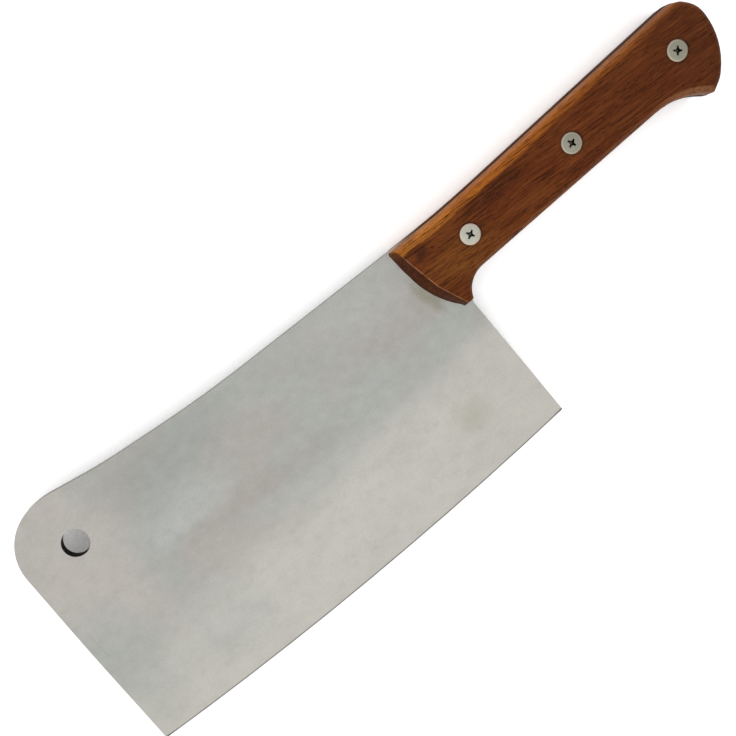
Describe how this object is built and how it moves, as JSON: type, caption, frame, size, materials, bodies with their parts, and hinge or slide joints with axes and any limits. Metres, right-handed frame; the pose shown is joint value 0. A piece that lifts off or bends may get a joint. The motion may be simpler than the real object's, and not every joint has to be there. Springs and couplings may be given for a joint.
{
  "type": "chinese cleaver",
  "caption": "Full-tang kitchen cleaver with a broad, bowed blade, a hanging hole in its nose, and two wooden scales held by cross-head screws and barrel nuts.",
  "frame": {"origin": "centre of the bounding box seen from above, on the plane that the rear scale's flat face lies on", "axes": "+X along the handle, from the blade to the butt; +Y from the cutting edge to the spine; +Z out of the face with the screw heads"},
  "size_m": [0.3052, 0.0996, 0.0215],
  "materials": {
    "blade_steel": "satin, finely ground carbon or stainless steel with a faint mottled stain",
    "handle_wood": "close-grained reddish-brown hardwood, oiled and worn",
    "fastener_nickel": "dull nickel plate"
  },
  "bodies": {
    "root": {"blade": "blade_steel", "front_scale": "handle_wood", "rear_scale": "handle_wood", "front_screw": "fastener_nickel", "middle_screw": "fastener_nickel", "butt_screw": "fastener_nickel", "front_barrel_nut": "fastener_nickel", "middle_barrel_nut": "fastener_nickel", "butt_barrel_nut": "fastener_nickel"}
  },
  "joints": []
}
